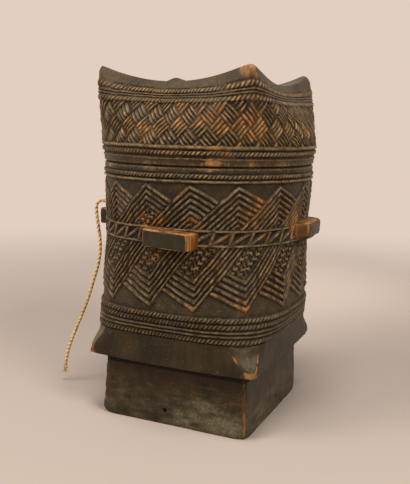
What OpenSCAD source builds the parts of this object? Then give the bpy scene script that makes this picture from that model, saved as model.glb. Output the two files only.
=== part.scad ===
// Lidded wooden cosmetic box on a square foot.
// The container and the lid are each carved from one block. The wall starts square
// above the skirt, turns round at the rim, and the lid turns from round to square
// again, rising to four corner points. Lugs stand out at the belt, one on each side.
// A twisted cord is threaded through the left lug. Front is -Y, up is +Z, in mm.

/* [Foot] */
// Width of the foot where it stands
foot_w = 100.5; // [88:0.5:108]
// Width of the foot under the skirt
foot_top_w = 97; // [84:0.5:106]
// Height of the foot up to the skirt
foot_h = 41.4; // [28:0.1:60]
// Diameter of the small hole in the middle of each foot face
foot_hole_d = 3.2; // [2:0.1:6]
// Depth of that hole
foot_hole_depth = 12; // [4:0.5:25]
// Height of that hole above the ground
foot_hole_z = 9; // [6:0.5:22]
// Hand-drilled offset of the front hole to the left
front_hole_shift = 5; // [-10:0.5:10]
// Hand-drilled offset of the right hole to the back
right_hole_shift = 6; // [-10:0.5:10]

/* [Skirt] */
// Width of the skirt over its corner points
skirt_w = 112.2; // [106:0.2:122]
// How far the middle of each side bulges past the corner points
skirt_bulge = 2.8; // [1:0.1:5]
// Height of the skirt
skirt_h = 17.8; // [12:0.1:26]
// How far the top of each corner point is cut back along the diagonal
skirt_cut = 6.6; // [3:0.1:9]

/* [Wall] */
// Width across the sides where the wall leaves the skirt
wall_base_w = 117; // [112:0.5:122]
// Width across the corners there
wall_base_diag = 143; // [138:0.5:148]
// Width across the sides above the lower rope bands
wall_low_w = 126; // [120:0.5:130]
// Width across the corners there
wall_low_diag = 139; // [134:0.5:144]
// Width across the sides at the belt
belt_w = 127; // [122:0.5:130]
// Width across the corners at the belt
belt_diag = 132; // [128:0.5:136]
// Diameter of the round wall at the rim
rim_d = 134; // [130:0.5:137]
// Height of the carved wall between the lower rope bands and the belt
lower_field_h = 41.4; // [30:0.1:60]
// Height of the carved wall between the belt and the upper bands
upper_field_h = 26.4; // [18:0.1:40]
// Height of the plain band under the rim
rim_band_h = 3.3; // [2:0.1:8]
// Depth of the hollow below the rim ledge
hollow_depth = 112; // [70:1:116]
// Diameter of the hollow
hollow_d = 106; // [90:1:108]
// Bevel around the floor of the hollow
hollow_bevel = 8; // [3:0.5:15]

/* [Bands] */
// Height of a rope band above the skirt
rope_h = 3.3; // [2:0.1:4]
// Height of a rope band at the rim and on the lid
fine_rope_h = 2.7; // [1.6:0.1:3.4]
// Height of a thin ridge
ridge_h = 1.8; // [1:0.1:3]
// Gap between two bands
band_gap = 0.6; // [0.4:0.1:1.2]
// Height of the belt
belt_h = 10.2; // [7:0.1:14]
// How far bands and belt stand out
relief = 0.9; // [0.4:0.1:1.5]

/* [Chevrons] */
// Chevrons around the field under the rim
upper_count = 15; // [10:1:20]
// Chevrons around the field above the rope bands
lower_count = 14; // [10:1:20]
// Where a short limb meets the next long one, as a share of their spacing, under the rim
upper_meet = 0.64; // [0.5:0.01:0.8]
// The same above the rope bands
lower_meet = 0.71; // [0.5:0.01:0.8]
// How far the main ridge of a chevron stands out
chevron_relief = 0.7; // [0.3:0.1:1.2]
// Width of that ridge at its root inside the wall
chevron_w = 4.6; // [3:0.1:6]
// Distance of a chevron's point from the bands
chevron_inset = 2; // [1.2:0.1:5]

/* [Lid] */
// Height of the raised inner rim that the lid sits over
spigot_h = 8; // [5:0.5:12]
// Diameter of that rim
spigot_d = 116; // [112:0.5:120]
// Gap between that rim and the lid
spigot_gap = 0.4; // [0.2:0.1:0.8]
// Gap at the seam under the lid
seam_gap = 0.3; // [0.2:0.1:0.6]
// Diameter of the lid where it is widest
lid_d = 136.6; // [132:0.2:140]
// Height from the seam to the widest ridge
lid_skirt_h = 11.3; // [9:0.1:16]
// Height from that ridge to the middle of the top edges
lid_face_h = 36.9; // [30:0.1:48]
// Width of the lid across its top edges
lid_top_w = 99; // [94:0.5:104]
// Width of the lid across its top corners
lid_top_diag = 138.4; // [132:0.2:144]
// How far the corner points rise above the middle of the edges
lid_rise = 9.1; // [5:0.1:14]
// Height of the plain band along the top edges
lid_edge_h = 4.6; // [3:0.1:7]
// Thickness of wood over the lid's hollow
lid_roof = 13; // [9:0.5:18]
// Diameter of the ceiling of the lid's hollow
lid_ceiling_d = 76; // [50:1:82]
// Diameter of the lid's hollow just above its seat
lid_hollow_d = 104; // [90:1:110]

/* [Lugs] */
// How far the outer face of a lug stands out past the belt's widest line
lug_proud = 9; // [6.5:0.1:14.5]
// Length of the outer face
lug_len = 26.5; // [22:0.5:32]
// How much longer a lug is at its root, at each end
lug_flare = 2.8; // [1:0.1:5]
// Height of a lug
lug_h = 10.5; // [8:0.1:14]
// Rounding along the outer edges
lug_round = 1.8; // [0.8:0.1:2]
// How deep the root reaches behind the belt's widest line
lug_root = 4; // [2:0.5:6]
// Diameter of the hole down through a lug
lug_hole_d = 4.6; // [3.6:0.1:5]
// Distance of the hole's axis from the outer face
lug_hole_in = 4.4; // [4.4:0.1:5]
// Distance of the hole's axis from the end of the outer face
lug_hole_end = 4.3; // [4:0.1:8]
// Hand-cut offset of the front lug to the right
front_shift = 5; // [-6:0.5:6]
// Hand-cut offset of the right lug to the back
right_shift = 2; // [-6:0.5:6]
// Hand-cut offset of the back lug to the left
back_shift = 0; // [-6:0.5:6]
// Hand-cut offset of the left lug to the front
left_shift = 4.5; // [-6:0.5:6]
// Height of the front lug above the middle of the belt
front_lift = -1; // [-3:0.5:4]
// Height of the other lugs above the middle of the belt
side_lift = 2; // [-3:0.5:4]

/* [Cord] */
// Diameter of the cord
cord_d = 2.4; // [1.6:0.1:2.8]
// Diameter of the knot under the lug
knot_d = 5.6; // [5.2:0.1:7]
// Height of the knot
knot_h = 4.6; // [3:0.1:6]
// Gap between the knot and the lug
knot_gap = 0.3; // [0.2:0.1:0.5]

/* [Hidden] */
$fn = 96;
// Points around each carved section, a multiple of 8 so that corners fall on points
ring_n = 48;
// How far one form reaches into the next where both are the same block
sink = 1.2;
// Width of the slope at each edge of a band
slope = 0.35;

// Heights of the container
skirt_z = foot_h;
wall_z = skirt_z + skirt_h;
rope_c_z = wall_z + band_gap;
ridge_b_z = rope_c_z + rope_h + band_gap;
ridge_a_z = ridge_b_z + ridge_h + band_gap;
rope_b_z = ridge_a_z + ridge_h + band_gap;
rope_a_z = rope_b_z + rope_h + band_gap;
lower_z = rope_a_z + rope_h;
belt_z = lower_z + lower_field_h;
upper_z = belt_z + belt_h;
rim_ridge_z = upper_z + upper_field_h;
rim_rope_z = rim_ridge_z + ridge_h + band_gap;
rim_band_z = rim_rope_z + fine_rope_h + band_gap;
seam_z = rim_band_z + rim_band_h;
spigot_z = seam_z + spigot_h;
floor_z = seam_z - hollow_depth;

// Heights of the lid
lid_z = seam_z + seam_gap;
lid_ridge_z = seam_z + lid_skirt_h;
lid_edge_z = lid_ridge_z + lid_face_h;
lid_seat_z = spigot_z + spigot_gap;
lid_ceiling_z = lid_edge_z - lid_roof;
lid_foot_rope_z = lid_ridge_z - ridge_h / 2 - 2 * band_gap - fine_rope_h;
lid_rope_1_z = lid_edge_z - lid_edge_h - fine_rope_h;
lid_ridge_1_z = lid_rope_1_z - ridge_h;
lid_rope_2_z = lid_ridge_1_z - band_gap - fine_rope_h;

// A section between a square and a circle, from its width across the sides and
// its width across the corners
function bend(w, d) = max(2, ln(2) / ln(max(w * sqrt(2) / d, 1.02)));
function reach(t, w, d) = let(n = bend(w, d))
    w / 2 / pow(pow(abs(cos(t)), n) + pow(abs(sin(t)), n), 1 / n);

// Width of the wall across its sides and its corners at each height
wall_sides = [[wall_z, wall_base_w], [lower_z, wall_low_w], [belt_z, belt_w],
    [seam_z, rim_d]];
wall_corners = [[wall_z, wall_base_diag], [lower_z, wall_low_diag],
    [belt_z, belt_diag], [upper_z, belt_diag], [seam_z, rim_d]];

// A band that stands out between two heights
function band(z, h) = [[z, 0], [z + slope, relief], [z + h - slope, relief], [z + h, 0]];
wall_line = concat([[wall_z - sink, -sink], [wall_z, 0]], band(rope_c_z, rope_h),
    band(ridge_b_z, ridge_h), band(ridge_a_z, ridge_h), band(rope_b_z, rope_h),
    band(rope_a_z, rope_h), [[(lower_z * 2 + belt_z) / 3, 0]],
    [[(lower_z + belt_z * 2) / 3, 0]], band(belt_z, belt_h),
    [[(upper_z + rim_ridge_z) / 2, 0]], band(rim_ridge_z, ridge_h),
    band(rim_rope_z, fine_rope_h), [[rim_band_z, 0], [seam_z, 0]]);
function wall_ring(z, out) = [for (i = [0 : ring_n - 1]) let(t = 360 * i / ring_n,
    r = reach(t, lookup(z, wall_sides), lookup(z, wall_corners)) + out)
    [r * cos(t), r * sin(t), z]];

// The lid above its widest ridge: v runs from 0 at the ridge to 1 at the top edge
lid_sides = [[0, lid_d], [0.16, lid_d - 2.6], [0.5, (lid_d + lid_top_w) / 2 + 3.4],
    [0.8, (lid_d + 4 * lid_top_w) / 5 + 0.6], [1, lid_top_w]];
lid_corners = [[0, lid_d], [1, lid_top_diag]];
lid_base = [[lid_z, rim_d], [lid_ridge_z, lid_d]];
function corner_lift(t) = pow(min(abs(cos(t)), abs(sin(t)))
    / max(abs(cos(t)), abs(sin(t))), 2);
field_z = lid_ridge_z + ridge_h / 2;
lid_line = concat([[lid_z, 0]], band(lid_foot_rope_z, fine_rope_h),
    band(lid_ridge_z - ridge_h / 2, ridge_h),
    [for (k = [1 : 5]) [field_z + k * (lid_rope_2_z - field_z) / 6, 0]],
    band(lid_rope_2_z, fine_rope_h), band(lid_ridge_1_z, ridge_h + fine_rope_h),
    [[lid_edge_z, 0]]);
function lid_ring(z, out) = let(v = max(0, (z - lid_ridge_z) / lid_face_h))
    [for (i = [0 : ring_n - 1]) let(t = 360 * i / ring_n,
        r = (z < lid_ridge_z ? lookup(z, lid_base) / 2
            : reach(t, lookup(v, lid_sides), lookup(v, lid_corners))) + out)
    [r * cos(t), r * sin(t), z + lid_rise * corner_lift(t) * v * v]];
// The top lies level in the middle and sweeps up toward the corner points
lid_level = 0.3;
function lid_top_ring(k) = [for (i = [0 : ring_n - 1]) let(t = 360 * i / ring_n,
    r = reach(t, lid_top_w, lid_top_diag) * k, up = (k - lid_level) / (1 - lid_level))
    [r * cos(t), r * sin(t), lid_edge_z + lid_rise * corner_lift(t) * pow(up, 3)]];

// Closes a stack of rings of n points into a solid, with a fan over each end
function middle(ring, n) = (ring[0] + ring[n / 4] + ring[n / 2] + ring[3 * n / 4]) / 4;
module skin(rings, n) {
    m = len(rings);
    sides = [for (j = [0 : m - 2], i = [0 : n - 1]) let(i2 = (i + 1) % n)
        each [[j * n + i, (j + 1) * n + i, (j + 1) * n + i2],
            [j * n + i, (j + 1) * n + i2, j * n + i2]]];
    ends = [for (i = [0 : n - 1]) let(i2 = (i + 1) % n, top = (m - 1) * n)
        each [[m * n, i, i2], [m * n + 1, top + i2, top + i]]];
    polyhedron(concat([for (r = rings) each r], [middle(rings[0], n), middle(rings[m - 1], n)]),
        concat(sides, ends));
}

// Square foot, wider at the ground
module foot() {
    side = [[-foot_w / 2, 0], [foot_w / 2, 0], [foot_top_w / 2, foot_h + sink],
        [-foot_top_w / 2, foot_h + sink]];
    intersection() {
        rotate([90, 0, 0])
            linear_extrude(foot_w + foot_top_w, center = true)
                polygon(side);
        rotate([90, 0, 90])
            linear_extrude(foot_w + foot_top_w, center = true)
                polygon(side);
    }
}

// Skirt with bowed sides, its corners cut back above a point at the bottom
module skirt() {
    half = skirt_w / 2;
    bow = (half * half + skirt_bulge * skirt_bulge) / (2 * skirt_bulge);
    tip = half * sqrt(2);
    lean = atan2(skirt_cut, skirt_h);
    difference() {
        translate([0, 0, skirt_z])
            intersection_for(a = [0 : 90 : 270])
                rotate(a)
                    translate([half + skirt_bulge - bow, 0, 0])
                        cylinder(r = bow, h = skirt_h);
        for (a = [45 : 90 : 315])
            rotate(a)
                translate([tip, 0, skirt_z])
                    rotate([0, -lean, 0])
                        translate([0, -half, 0])
                            cube([skirt_w, skirt_w, skirt_h * 2]);
    }
}

// Small blind hole drilled into one face of the foot
module foot_hole(a, shift) {
    rotate(a)
        translate([shift, -foot_w / 2 - sink, foot_hole_z])
            rotate([-90, 0, 0])
                cylinder(d = foot_hole_d, h = foot_hole_depth + sink);
}

// Main ridge of a chevron's limb, cut along the wall between two places, each an angle
// and a height
function unit(v) = v / norm(v);
function on_wall(t, z, out) = let(r = out
    + reach(t, lookup(z, wall_sides), lookup(z, wall_corners))) [r * cos(t), r * sin(t), z];
module limb(from, to, steps) {
    arc = belt_w / 2 * PI / 180;
    way = unit([(to[0] - from[0]) * arc, to[1] - from[1]]);
    side = [-way[1] / arc, way[0]] * chevron_w / 2;
    rings = [for (k = [0 : steps]) let(p = from + (to - from) * k / steps, a = p + side, b = p - side)
        each [on_wall(a[0], a[1], -sink), on_wall(p[0], p[1], chevron_relief),
            on_wall(b[0], b[1], -sink)]];
    polyhedron(rings, concat([[0, 1, 2], [steps * 3 + 2, steps * 3 + 1, steps * 3]],
        [for (j = [0 : 3 : steps * 3 - 3], i = [0 : 2]) let(i2 = (i + 1) % 3)
            each [[j + i, j + 3 + i, j + 3 + i2], [j + i, j + 3 + i2, j + i2]]]));
}

// Chevrons: peaks under the rim and points above the rope bands, each long limb running
// on to the belt
upper_first = -75.2;
lower_first = -98;
module chevrons() {
    top = rim_ridge_z - chevron_inset;
    gap_u = 360 / upper_count;
    for (k = [0 : upper_count - 1]) {
        t = upper_first + k * gap_u;
        limb([t, top], [t - gap_u, upper_z], 3);
        limb([t, top], [t + upper_meet * gap_u, top - (1 - upper_meet) * (top - upper_z)], 2);
    }
    low = lower_z + 2 * chevron_inset;
    gap_l = 360 / lower_count;
    for (k = [0 : lower_count - 1]) {
        t = lower_first + k * gap_l;
        limb([t, low], [t + gap_l, belt_z], 4);
        limb([t, low], [t - lower_meet * gap_l, low + (1 - lower_meet) * (belt_z - low)], 2);
    }
}

// Container: foot, skirt, wall and rim in one block, with its hollow
module container() {
    color("saddlebrown")
        difference() {
            union() {
                foot();
                skirt();
                skin([for (p = wall_line) wall_ring(p[0], p[1])], ring_n);
                chevrons();
                translate([0, 0, seam_z - sink])
                    cylinder(d = spigot_d, h = spigot_h + sink);
            }
            rotate_extrude()
                polygon([[0, floor_z], [hollow_d / 2 - hollow_bevel, floor_z],
                    [hollow_d / 2, floor_z + hollow_bevel],
                    [hollow_d / 2, spigot_z + sink], [0, spigot_z + sink]]);
            foot_hole(0, -front_hole_shift);
            foot_hole(90, right_hole_shift);
            foot_hole(180, 0);
            foot_hole(270, 0);
            lug_block(0, front_shift, front_lift);
            lug_block(90, right_shift, side_lift);
            lug_block(180, back_shift, side_lift);
            lug_block(270, left_shift, side_lift);
        }
}

// Block of a lug, whose root fills its seat in the wall: its ends flare toward the
// root and its outer edges are rounded
lug_root_y = belt_w / 2 - lug_root;
lug_out = belt_w / 2 + lug_proud;
module lug_block(a, shift, lift) {
    deep = lug_out - lug_root_y;
    rotate(a)
        translate([shift, 0, belt_z + belt_h / 2 + lift - lug_h / 2])
            intersection() {
                linear_extrude(lug_h)
                    polygon([[-lug_len / 2 - lug_flare, -lug_root_y],
                        [lug_len / 2 + lug_flare, -lug_root_y],
                        [lug_len / 2, -lug_out], [-lug_len / 2, -lug_out]]);
                rotate([90, 0, 90])
                    linear_extrude(lug_len * 2, center = true)
                        union() {
                            translate([-lug_out + lug_round, 0])
                                square([deep - lug_round, lug_h]);
                            translate([-lug_out, lug_round])
                                square([deep, lug_h - 2 * lug_round]);
                            translate([-lug_out + lug_round, lug_round])
                                circle(lug_round);
                            translate([-lug_out + lug_round, lug_h - lug_round])
                                circle(lug_round);
                        }
            }
}

// Lug with a hole down through it near one end
lug_hole_shift = lug_len / 2 - lug_hole_end;
module lug(a, shift, lift) {
    color("peru")
        difference() {
            lug_block(a, shift, lift);
            rotate(a)
                translate([shift + lug_hole_shift, lug_hole_in - lug_out, belt_z - lug_h])
                    cylinder(d = lug_hole_d, h = belt_h + lug_h * 2);
        }
}

module lug_front() {
    lug(0, front_shift, front_lift);
}

module lug_right() {
    lug(90, right_shift, side_lift);
}

module lug_back() {
    lug(180, back_shift, side_lift);
}

module lug_left() {
    lug(270, left_shift, side_lift);
}

// Lid: round at the seam, square on top, hollow below
module lid() {
    color("sienna")
        difference() {
            skin(concat([for (p = lid_line) lid_ring(p[0], p[1])],
                [for (k = [0.9, 0.75, 0.55, lid_level]) lid_top_ring(k)]), ring_n);
            rotate_extrude()
                polygon([[0, lid_z - sink], [spigot_d / 2 + spigot_gap, lid_z - sink],
                    [spigot_d / 2 + spigot_gap, lid_seat_z], [lid_hollow_d / 2, lid_seat_z],
                    [lid_ceiling_d / 2, lid_ceiling_z], [0, lid_ceiling_z]]);
        }
}

// The cord comes up through the left lug, bends over its outer edge and hangs
// outside. Its route is counted from the middle of the hole's upper mouth.
lug_left_top = belt_z + belt_h / 2 + side_lift + lug_h / 2;
cord_mouth = [lug_hole_in - lug_out, -left_shift - lug_hole_shift, lug_left_top];
cord_free = [[0, 0, 0.4], [-0.53, -0.19, 2.5], [-1.97, -0.71, 4.04], [-3.95, -1.42, 4.6],
    [-5.92, -2.14, 4.04], [-7.37, -2.66, 2.5], [-7.9, -2.85, 0.4], [-7.8, -2.9, -3.5],
    [-7.3, -2.8, -8], [-6.6, -2.6, -13], [-5.7, -2.5, -19], [-5.2, -2.5, -25],
    [-5.5, -2.5, -32], [-7, -2.5, -40], [-10, -2.5, -49], [-13, -2.5, -58],
    [-17, -2.5, -69], [-21, -2.5, -78], [-25.5, -2.5, -88], [-29.5, -2.5, -97],
    [-32.5, -2.5, -105], [-34.5, -2.5, -113], [-35.5, -2.5, -120]];
cord_points = concat([[0, 0, -lug_h - knot_gap], [0, 0, -lug_h / 2]], cord_free);

// A smooth line through the points
function smooth(a, b, c, d, t) = 0.5 * (2 * b + (c - a) * t + (2 * a - 5 * b + 4 * c - d) * t * t
    + (3 * b - a - 3 * c + d) * t * t * t);
cord_last = len(cord_points) - 1;
cord_line = concat([for (i = [0 : cord_last - 1], t = [0, 0.5])
    smooth(cord_points[max(i - 1, 0)], cord_points[i], cord_points[i + 1],
        cord_points[min(i + 2, cord_last)], t)], [cord_points[cord_last]]);
function cord_ring(i) = let(n = len(cord_line) - 1,
    way = i == 0 ? [0, 0, 1] : unit(cord_line[min(i + 1, n)] - cord_line[i - 1]),
    u = unit(cross([0, 1, 0], way)), w = cross(way, u))
    [for (k = [0 : 7]) cord_mouth + cord_line[i]
        + cord_d / 2 * (u * cos(45 * k) + w * sin(45 * k))];

// Cord, as a plain round tube along its route
module cord() {
    color("tan")
        skin([for (i = [0 : len(cord_line) - 1]) cord_ring(i)], 8);
}

// Stopper knot below the lug
module cord_knot() {
    color("goldenrod")
        translate(cord_mouth - [0, 0, lug_h + knot_gap + knot_h])
            rotate_extrude()
                polygon([[0, 0], [cord_d / 2, 0], [knot_d / 2, knot_h * 0.35],
                    [knot_d / 2, knot_h * 0.65], [cord_d / 2 + 0.4, knot_h], [0, knot_h]]);
}

container();
lid();
lug_front();
lug_right();
lug_back();
lug_left();
cord();
cord_knot();
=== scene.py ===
import math

import bmesh
import bpy
import numpy as np
from mathutils import Matrix


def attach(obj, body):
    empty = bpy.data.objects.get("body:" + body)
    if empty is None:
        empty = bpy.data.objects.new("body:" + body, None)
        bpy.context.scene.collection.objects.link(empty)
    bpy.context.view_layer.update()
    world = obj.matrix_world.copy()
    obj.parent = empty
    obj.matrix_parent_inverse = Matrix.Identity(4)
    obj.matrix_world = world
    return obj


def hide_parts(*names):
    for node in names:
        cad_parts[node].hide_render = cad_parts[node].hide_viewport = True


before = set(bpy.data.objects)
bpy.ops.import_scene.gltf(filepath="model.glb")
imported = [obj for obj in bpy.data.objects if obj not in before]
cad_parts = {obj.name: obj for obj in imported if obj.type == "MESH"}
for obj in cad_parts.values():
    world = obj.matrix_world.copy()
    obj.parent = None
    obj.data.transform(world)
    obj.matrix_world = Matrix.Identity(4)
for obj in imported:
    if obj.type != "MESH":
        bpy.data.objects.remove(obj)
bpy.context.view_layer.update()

# Container. Foot, skirt, wall and inner rim are hewn from one block of dark hardwood, the
# hollow is scooped out, and bands and chevrons are cut with a knife. Hands have rubbed the
# ridges, and soot and oil have filled the cuts. The wood's colour also holds a painted highlight
# on the ridges and painted shade in the cuts. Sizes of the box and its cord are in mm.


def eased(x, low, high):
    """From 0 at low to 1 at high, slow at both ends."""
    t = np.clip((x - low) / (high - low), 0, 1)
    return t * t * (3 - 2 * t)


def wander(theta, z, cells, step, seed):
    """Slow hand-made drift from -1 to 1, by cells around the piece and steps in mm up it."""
    highest = 239
    grid = np.random.default_rng(seed).uniform(-1, 1, (int((highest + 1) / step) + 3, cells))
    u, v = theta / (2 * np.pi) % 1 * cells, np.clip(z, 0, highest) / step
    i, j = np.floor(u).astype(int), np.floor(v).astype(int)
    a, b = eased(u - i, 0, 1), eased(v - j, 0, 1)
    left, right = i % cells, (i + 1) % cells
    below = grid[j, left] * (1 - a) + grid[j, right] * a
    above = grid[j + 1, left] * (1 - a) + grid[j + 1, right] * a
    return below * (1 - b) + above * b


def turns(columns):
    """Angles of the columns of points around a piece."""
    return 2 * np.pi * np.arange(columns) / columns


def from_angle(theta, angle):
    """Degrees from an angle, -180 to 180."""
    return (np.degrees(theta) - angle + 180) % 360 - 180


def reach(theta, wide, diag):
    """Radius of a section between square and circle, by its widths over sides and corners."""
    n = np.maximum(2, np.log(2) / np.log(np.maximum(wide * 2 ** 0.5 / diag, 1.012)))
    return wide / 2 / (np.abs(np.cos(theta)) ** n + np.abs(np.sin(theta)) ** n) ** (1 / n)


def spots(theta, z, places):
    """Worn places, each (angle in degrees, height, half width in degrees, half height, depth)."""
    worn = 0
    for angle, height, wide, high, depth in places:
        off = from_angle(theta, angle)
        worn = np.maximum(worn, depth * np.exp(-(off / wide) ** 2 - ((z - height) / high) ** 2))
    return worn


def around(theta, r, z):
    """Rows of points at radius r."""
    r, z, theta = np.broadcast_arrays(r, z, theta)
    return np.stack([r * np.cos(theta), r * np.sin(theta), z], 2)


def skin(points, ridge=0.0, rub=0.0, dust=0.0, inside=0.0, start=None, end=None):
    """Rows of points around a piece, with a point that closes its first or last row."""
    shape = points.shape[:2]
    marks = {"ridge": ridge, "rub": rub, "dust": dust, "inside": inside}
    marks = {key: np.broadcast_to(np.asarray(value, float), shape) for key, value in marks.items()}
    return {"points": points, "marks": marks, "start": start, "end": end}


# Foot: square, wider at the ground, its arrises worn round
foot_top = 41.4
foot_low_wide = 100.5
foot_taper = 3.5
arris_cut = 1.3
foot_theta = turns(768)
foot_z = np.concatenate([
    [0.0, 0.25, 0.7, 1.4], np.arange(2.2, 6.6, 0.8), np.arange(6.8, 11.4, 0.4),
    np.arange(12, foot_top, 0.9), [foot_top]])[:, None]
foot_wide = foot_low_wide - foot_taper * foot_z / foot_top
arris = np.abs(np.degrees(foot_theta) % 90 - 45)
chips = wander(foot_theta, foot_z, 300, 5, 11) + 0.5 * wander(foot_theta, foot_z, 768, 1.6, 12)
hewn = 0.22 * wander(foot_theta, foot_z, 22, 17, 13)
planed = 0.07 * wander(foot_theta, foot_z, 150, 4, 14)
foot_r = reach(foot_theta, foot_wide, foot_wide * 2 ** 0.5 - arris_cut)
foot_r = foot_r - 0.9 * np.exp(-(arris / 1.8) ** 2) * (0.5 + 0.5 * chips)
foot_r = foot_r + hewn + planed - 0.25
foot_r = foot_r - 0.55 * eased(1.4 - foot_z, 0, 1.4) ** 2
foot_r = foot_r - 1.6 * np.exp(-(arris / 3.0) ** 2) * eased(5.0 - foot_z, 0, 5) ** 2
foot_points = around(foot_theta, foot_r, foot_z)
# Painted shade: the top of the foot is darkened like a cut, for the shadow under the skirt
foot_painted_shade = eased(foot_z, 34.0, 37.0) + np.zeros_like(foot_r)

# Peg holes: one low in each face, where the points are drawn to a round mouth and pushed in
peg_height = 9.0
peg_r = 1.6
peg_deep = 11.0
peg_floor_r, peg_edge_r = 1.3, 2.0
for face, shift in ((-90, -5.0), (0, 6.0), (90, 0.0), (180, 0.0)):
    out = np.array([math.cos(math.radians(face)), math.sin(math.radians(face)), 0.0]).round(6)
    side = np.array([-out[1], out[0], 0.0])
    across = foot_points @ side - shift
    up = foot_points[..., 2] - peg_height
    far = np.hypot(across, up) + 1e-9
    near = (foot_points @ out > 40) & (far < peg_edge_r)
    lip = near & (far > peg_floor_r)
    deep = near & (far <= peg_floor_r)
    pull = np.where(lip, peg_r / far, np.where(deep, 1.15, 1.0)) - 1
    foot_points = foot_points + (across * pull)[..., None] * side
    foot_points = foot_points + (up * pull)[..., None] * np.array([0, 0, 1.0])
    foot_points = foot_points - np.where(deep, peg_deep, 0.0)[..., None] * out
    # Painted shade: the floor of each peg hole is darkened like a cut
    foot_painted_shade = np.where(deep, 1.0, foot_painted_shade)

# Wear of the foot: pale dust low down, brown scrapes along the faces and bare arrises
foot_dust = spots(foot_theta, foot_z, [
    (-57, 8, 9, 6, 1.0), (-72, 5, 12, 5, 0.75), (-64, 17, 8, 6, 0.4), (-84, 3, 9, 3, 0.55),
    (-25, 8, 12, 8, 0.35)])
streaks = 0.8 * wander(foot_theta, foot_z, 60, 4, 15) + 0.8 * wander(foot_theta, foot_z, 50, 1.8, 16)
foot_film = np.clip(0.46 + 0.16 * streaks, 0, 1) * eased(foot_z, 40, 14)
foot_dust = foot_dust * np.clip(0.8 + 0.6 * streaks, 0.05, 1.5) + foot_film
scrapes = eased(wander(foot_theta, foot_z, 30, 2.4, 17) * eased(foot_z, 36, 28), 0.0, 0.7)
arris_rub = np.exp(-(arris / 0.9) ** 2) * eased(chips, -0.1, 0.9)
front_arris = np.exp(-(from_angle(foot_theta, -45.3) / 0.8) ** 2)
foot_rub = np.clip(0.7 * arris_rub + front_arris * eased(chips, -0.5, 0.5) + 0.55 * scrapes, 0, 1)
foot_skins = [
    skin(around(foot_theta, foot_r[0] * np.array([[0.5], [1.0]]), np.zeros((2, 1))), start=(0, 0, 0)),
    skin(foot_points, ridge=-foot_painted_shade, rub=foot_rub, dust=foot_dust)]

# Skirt: bowed sides over the foot, with a facet at each corner that leans in from a point to the wall
skirt_top = 59.3
skirt_rise = 17.8
skirt_half = 56.1
facet_lean = 7.6
skirt_theta = turns(1024)
skirt_z = np.concatenate([[foot_top, 41.7], np.arange(42.2, skirt_top, 0.6), [skirt_top]])[:, None]
side_angle = (skirt_theta + np.pi / 4) % (np.pi / 2) - np.pi / 4
swell = np.array([0.9, 2.2, 2.2, 2.8])[np.floor(skirt_theta / (np.pi / 2) + 0.5).astype(int) % 4]
bow = (skirt_half ** 2 + swell ** 2) / (2 * swell)
back = skirt_half + swell - bow
bowed = back * np.cos(side_angle) + np.sqrt(bow ** 2 - (back * np.sin(side_angle)) ** 2)
climb = (skirt_z - foot_top) / skirt_rise
corner = np.floor(skirt_theta / (np.pi / 2)).astype(int) % 4
skew = np.radians(np.array([-4.0, 5.0, -5.0, -9.0]))[corner]
facet = (np.array([79.1, 79.0, 79.3, 78.0])[corner] - facet_lean * climb) * np.cos(skew) / np.cos(
    skirt_theta % (np.pi / 2) - np.pi / 4 - skew)
skirt_r = -0.3 * np.log(np.exp(-(bowed + 0 * skirt_z - 60) / 0.3) + np.exp(-(facet - 60) / 0.3)) + 60
wall_foot = reach(skirt_theta, 117.0, 143.0) + 0.15
skirt_r = skirt_r + (np.minimum(skirt_r, wall_foot) - skirt_r) * eased(climb, 0.3, 1.0)
skirt_chips = wander(skirt_theta, skirt_z, 260, 4, 21)
hewn = 0.2 * wander(skirt_theta, skirt_z, 26, 11, 22)
planed = 0.06 * wander(skirt_theta, skirt_z, 220, 3, 23)
skirt_r = skirt_r + hewn + planed
skirt_r = skirt_r - 0.2 * eased(42.2 - skirt_z, 0, 0.8) * (1 + skirt_chips)
diagonal = np.abs(np.abs(side_angle) - np.pi / 4)
tip = np.exp(-(np.degrees(diagonal) / 3.2) ** 2) * eased(47 - skirt_z, 0, 5)
skirt_r = skirt_r - 1.0 * tip * eased(skirt_chips, -0.6, 0.9)
edge = np.exp(-((bowed - facet) / 0.7) ** 2) * eased(climb, 1.0, 0.6)
tip_rub = tip * (np.array([0.9, 0.8, 0.6, 1.2])[corner] + 0.3 * skirt_chips)
lip_rub = 0.5 * eased(42.6 - skirt_z, 0, 1.0) * eased(skirt_chips, 0.1, 0.9)
skirt_rub = np.clip(tip_rub + edge * eased(skirt_chips, -0.5, 0.5) + lip_rub, 0, 1)
on_facet = eased(bowed - facet, 0.3, 1.5)
skirt_dust = np.array([0.5, 0.5, 1.0, 0.5])[corner] * on_facet + 0.25 * eased(skirt_chips, 0.2, 0.9)
skirt_inner = reach(skirt_theta, 96.0, 96.0 * 2 ** 0.5 - arris_cut)
underside_r = np.stack([skirt_inner, (skirt_inner + skirt_r[0]) / 2, skirt_r[0]])
ledge_r = skirt_r[-1] - np.array([[0.0], [1.0], [4.0]])
skirt_skins = [
    skin(around(skirt_theta, underside_r, np.full((3, 1), foot_top))),
    skin(around(skirt_theta, skirt_r, skirt_z), ridge=0.6 * skirt_rub, rub=skirt_rub, dust=skirt_dust),
    skin(around(skirt_theta, ledge_r, np.full((3, 1), skirt_top)))]


def faired(x, at, sizes, spread):
    """Sizes along the block, faired over the corners between its measured places."""
    return sum(np.interp(x + k * spread, at, sizes) for k in (-1, -0.5, 0, 0.5, 1)) / 5


def half_round(z, low, high):
    """Height of a half-round moulding, 1 along its middle."""
    return np.sqrt(np.clip(1 - (2 * (z - low) / (high - low) - 1) ** 2, 0, 1))


def strand(phase):
    """A rounded ridge between two knife cuts, once in each whole phase."""
    return np.abs(np.sin(np.pi * phase)) ** 0.8


def rope(turn, z, low, high, count):
    """Half-round band cut across into slanting strands."""
    twist = strand(turn * count - 0.31 * (z - low))
    return -0.4 + 1.3 * half_round(z, low, high) ** 0.8 * (0.22 + 0.78 * twist)


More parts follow.
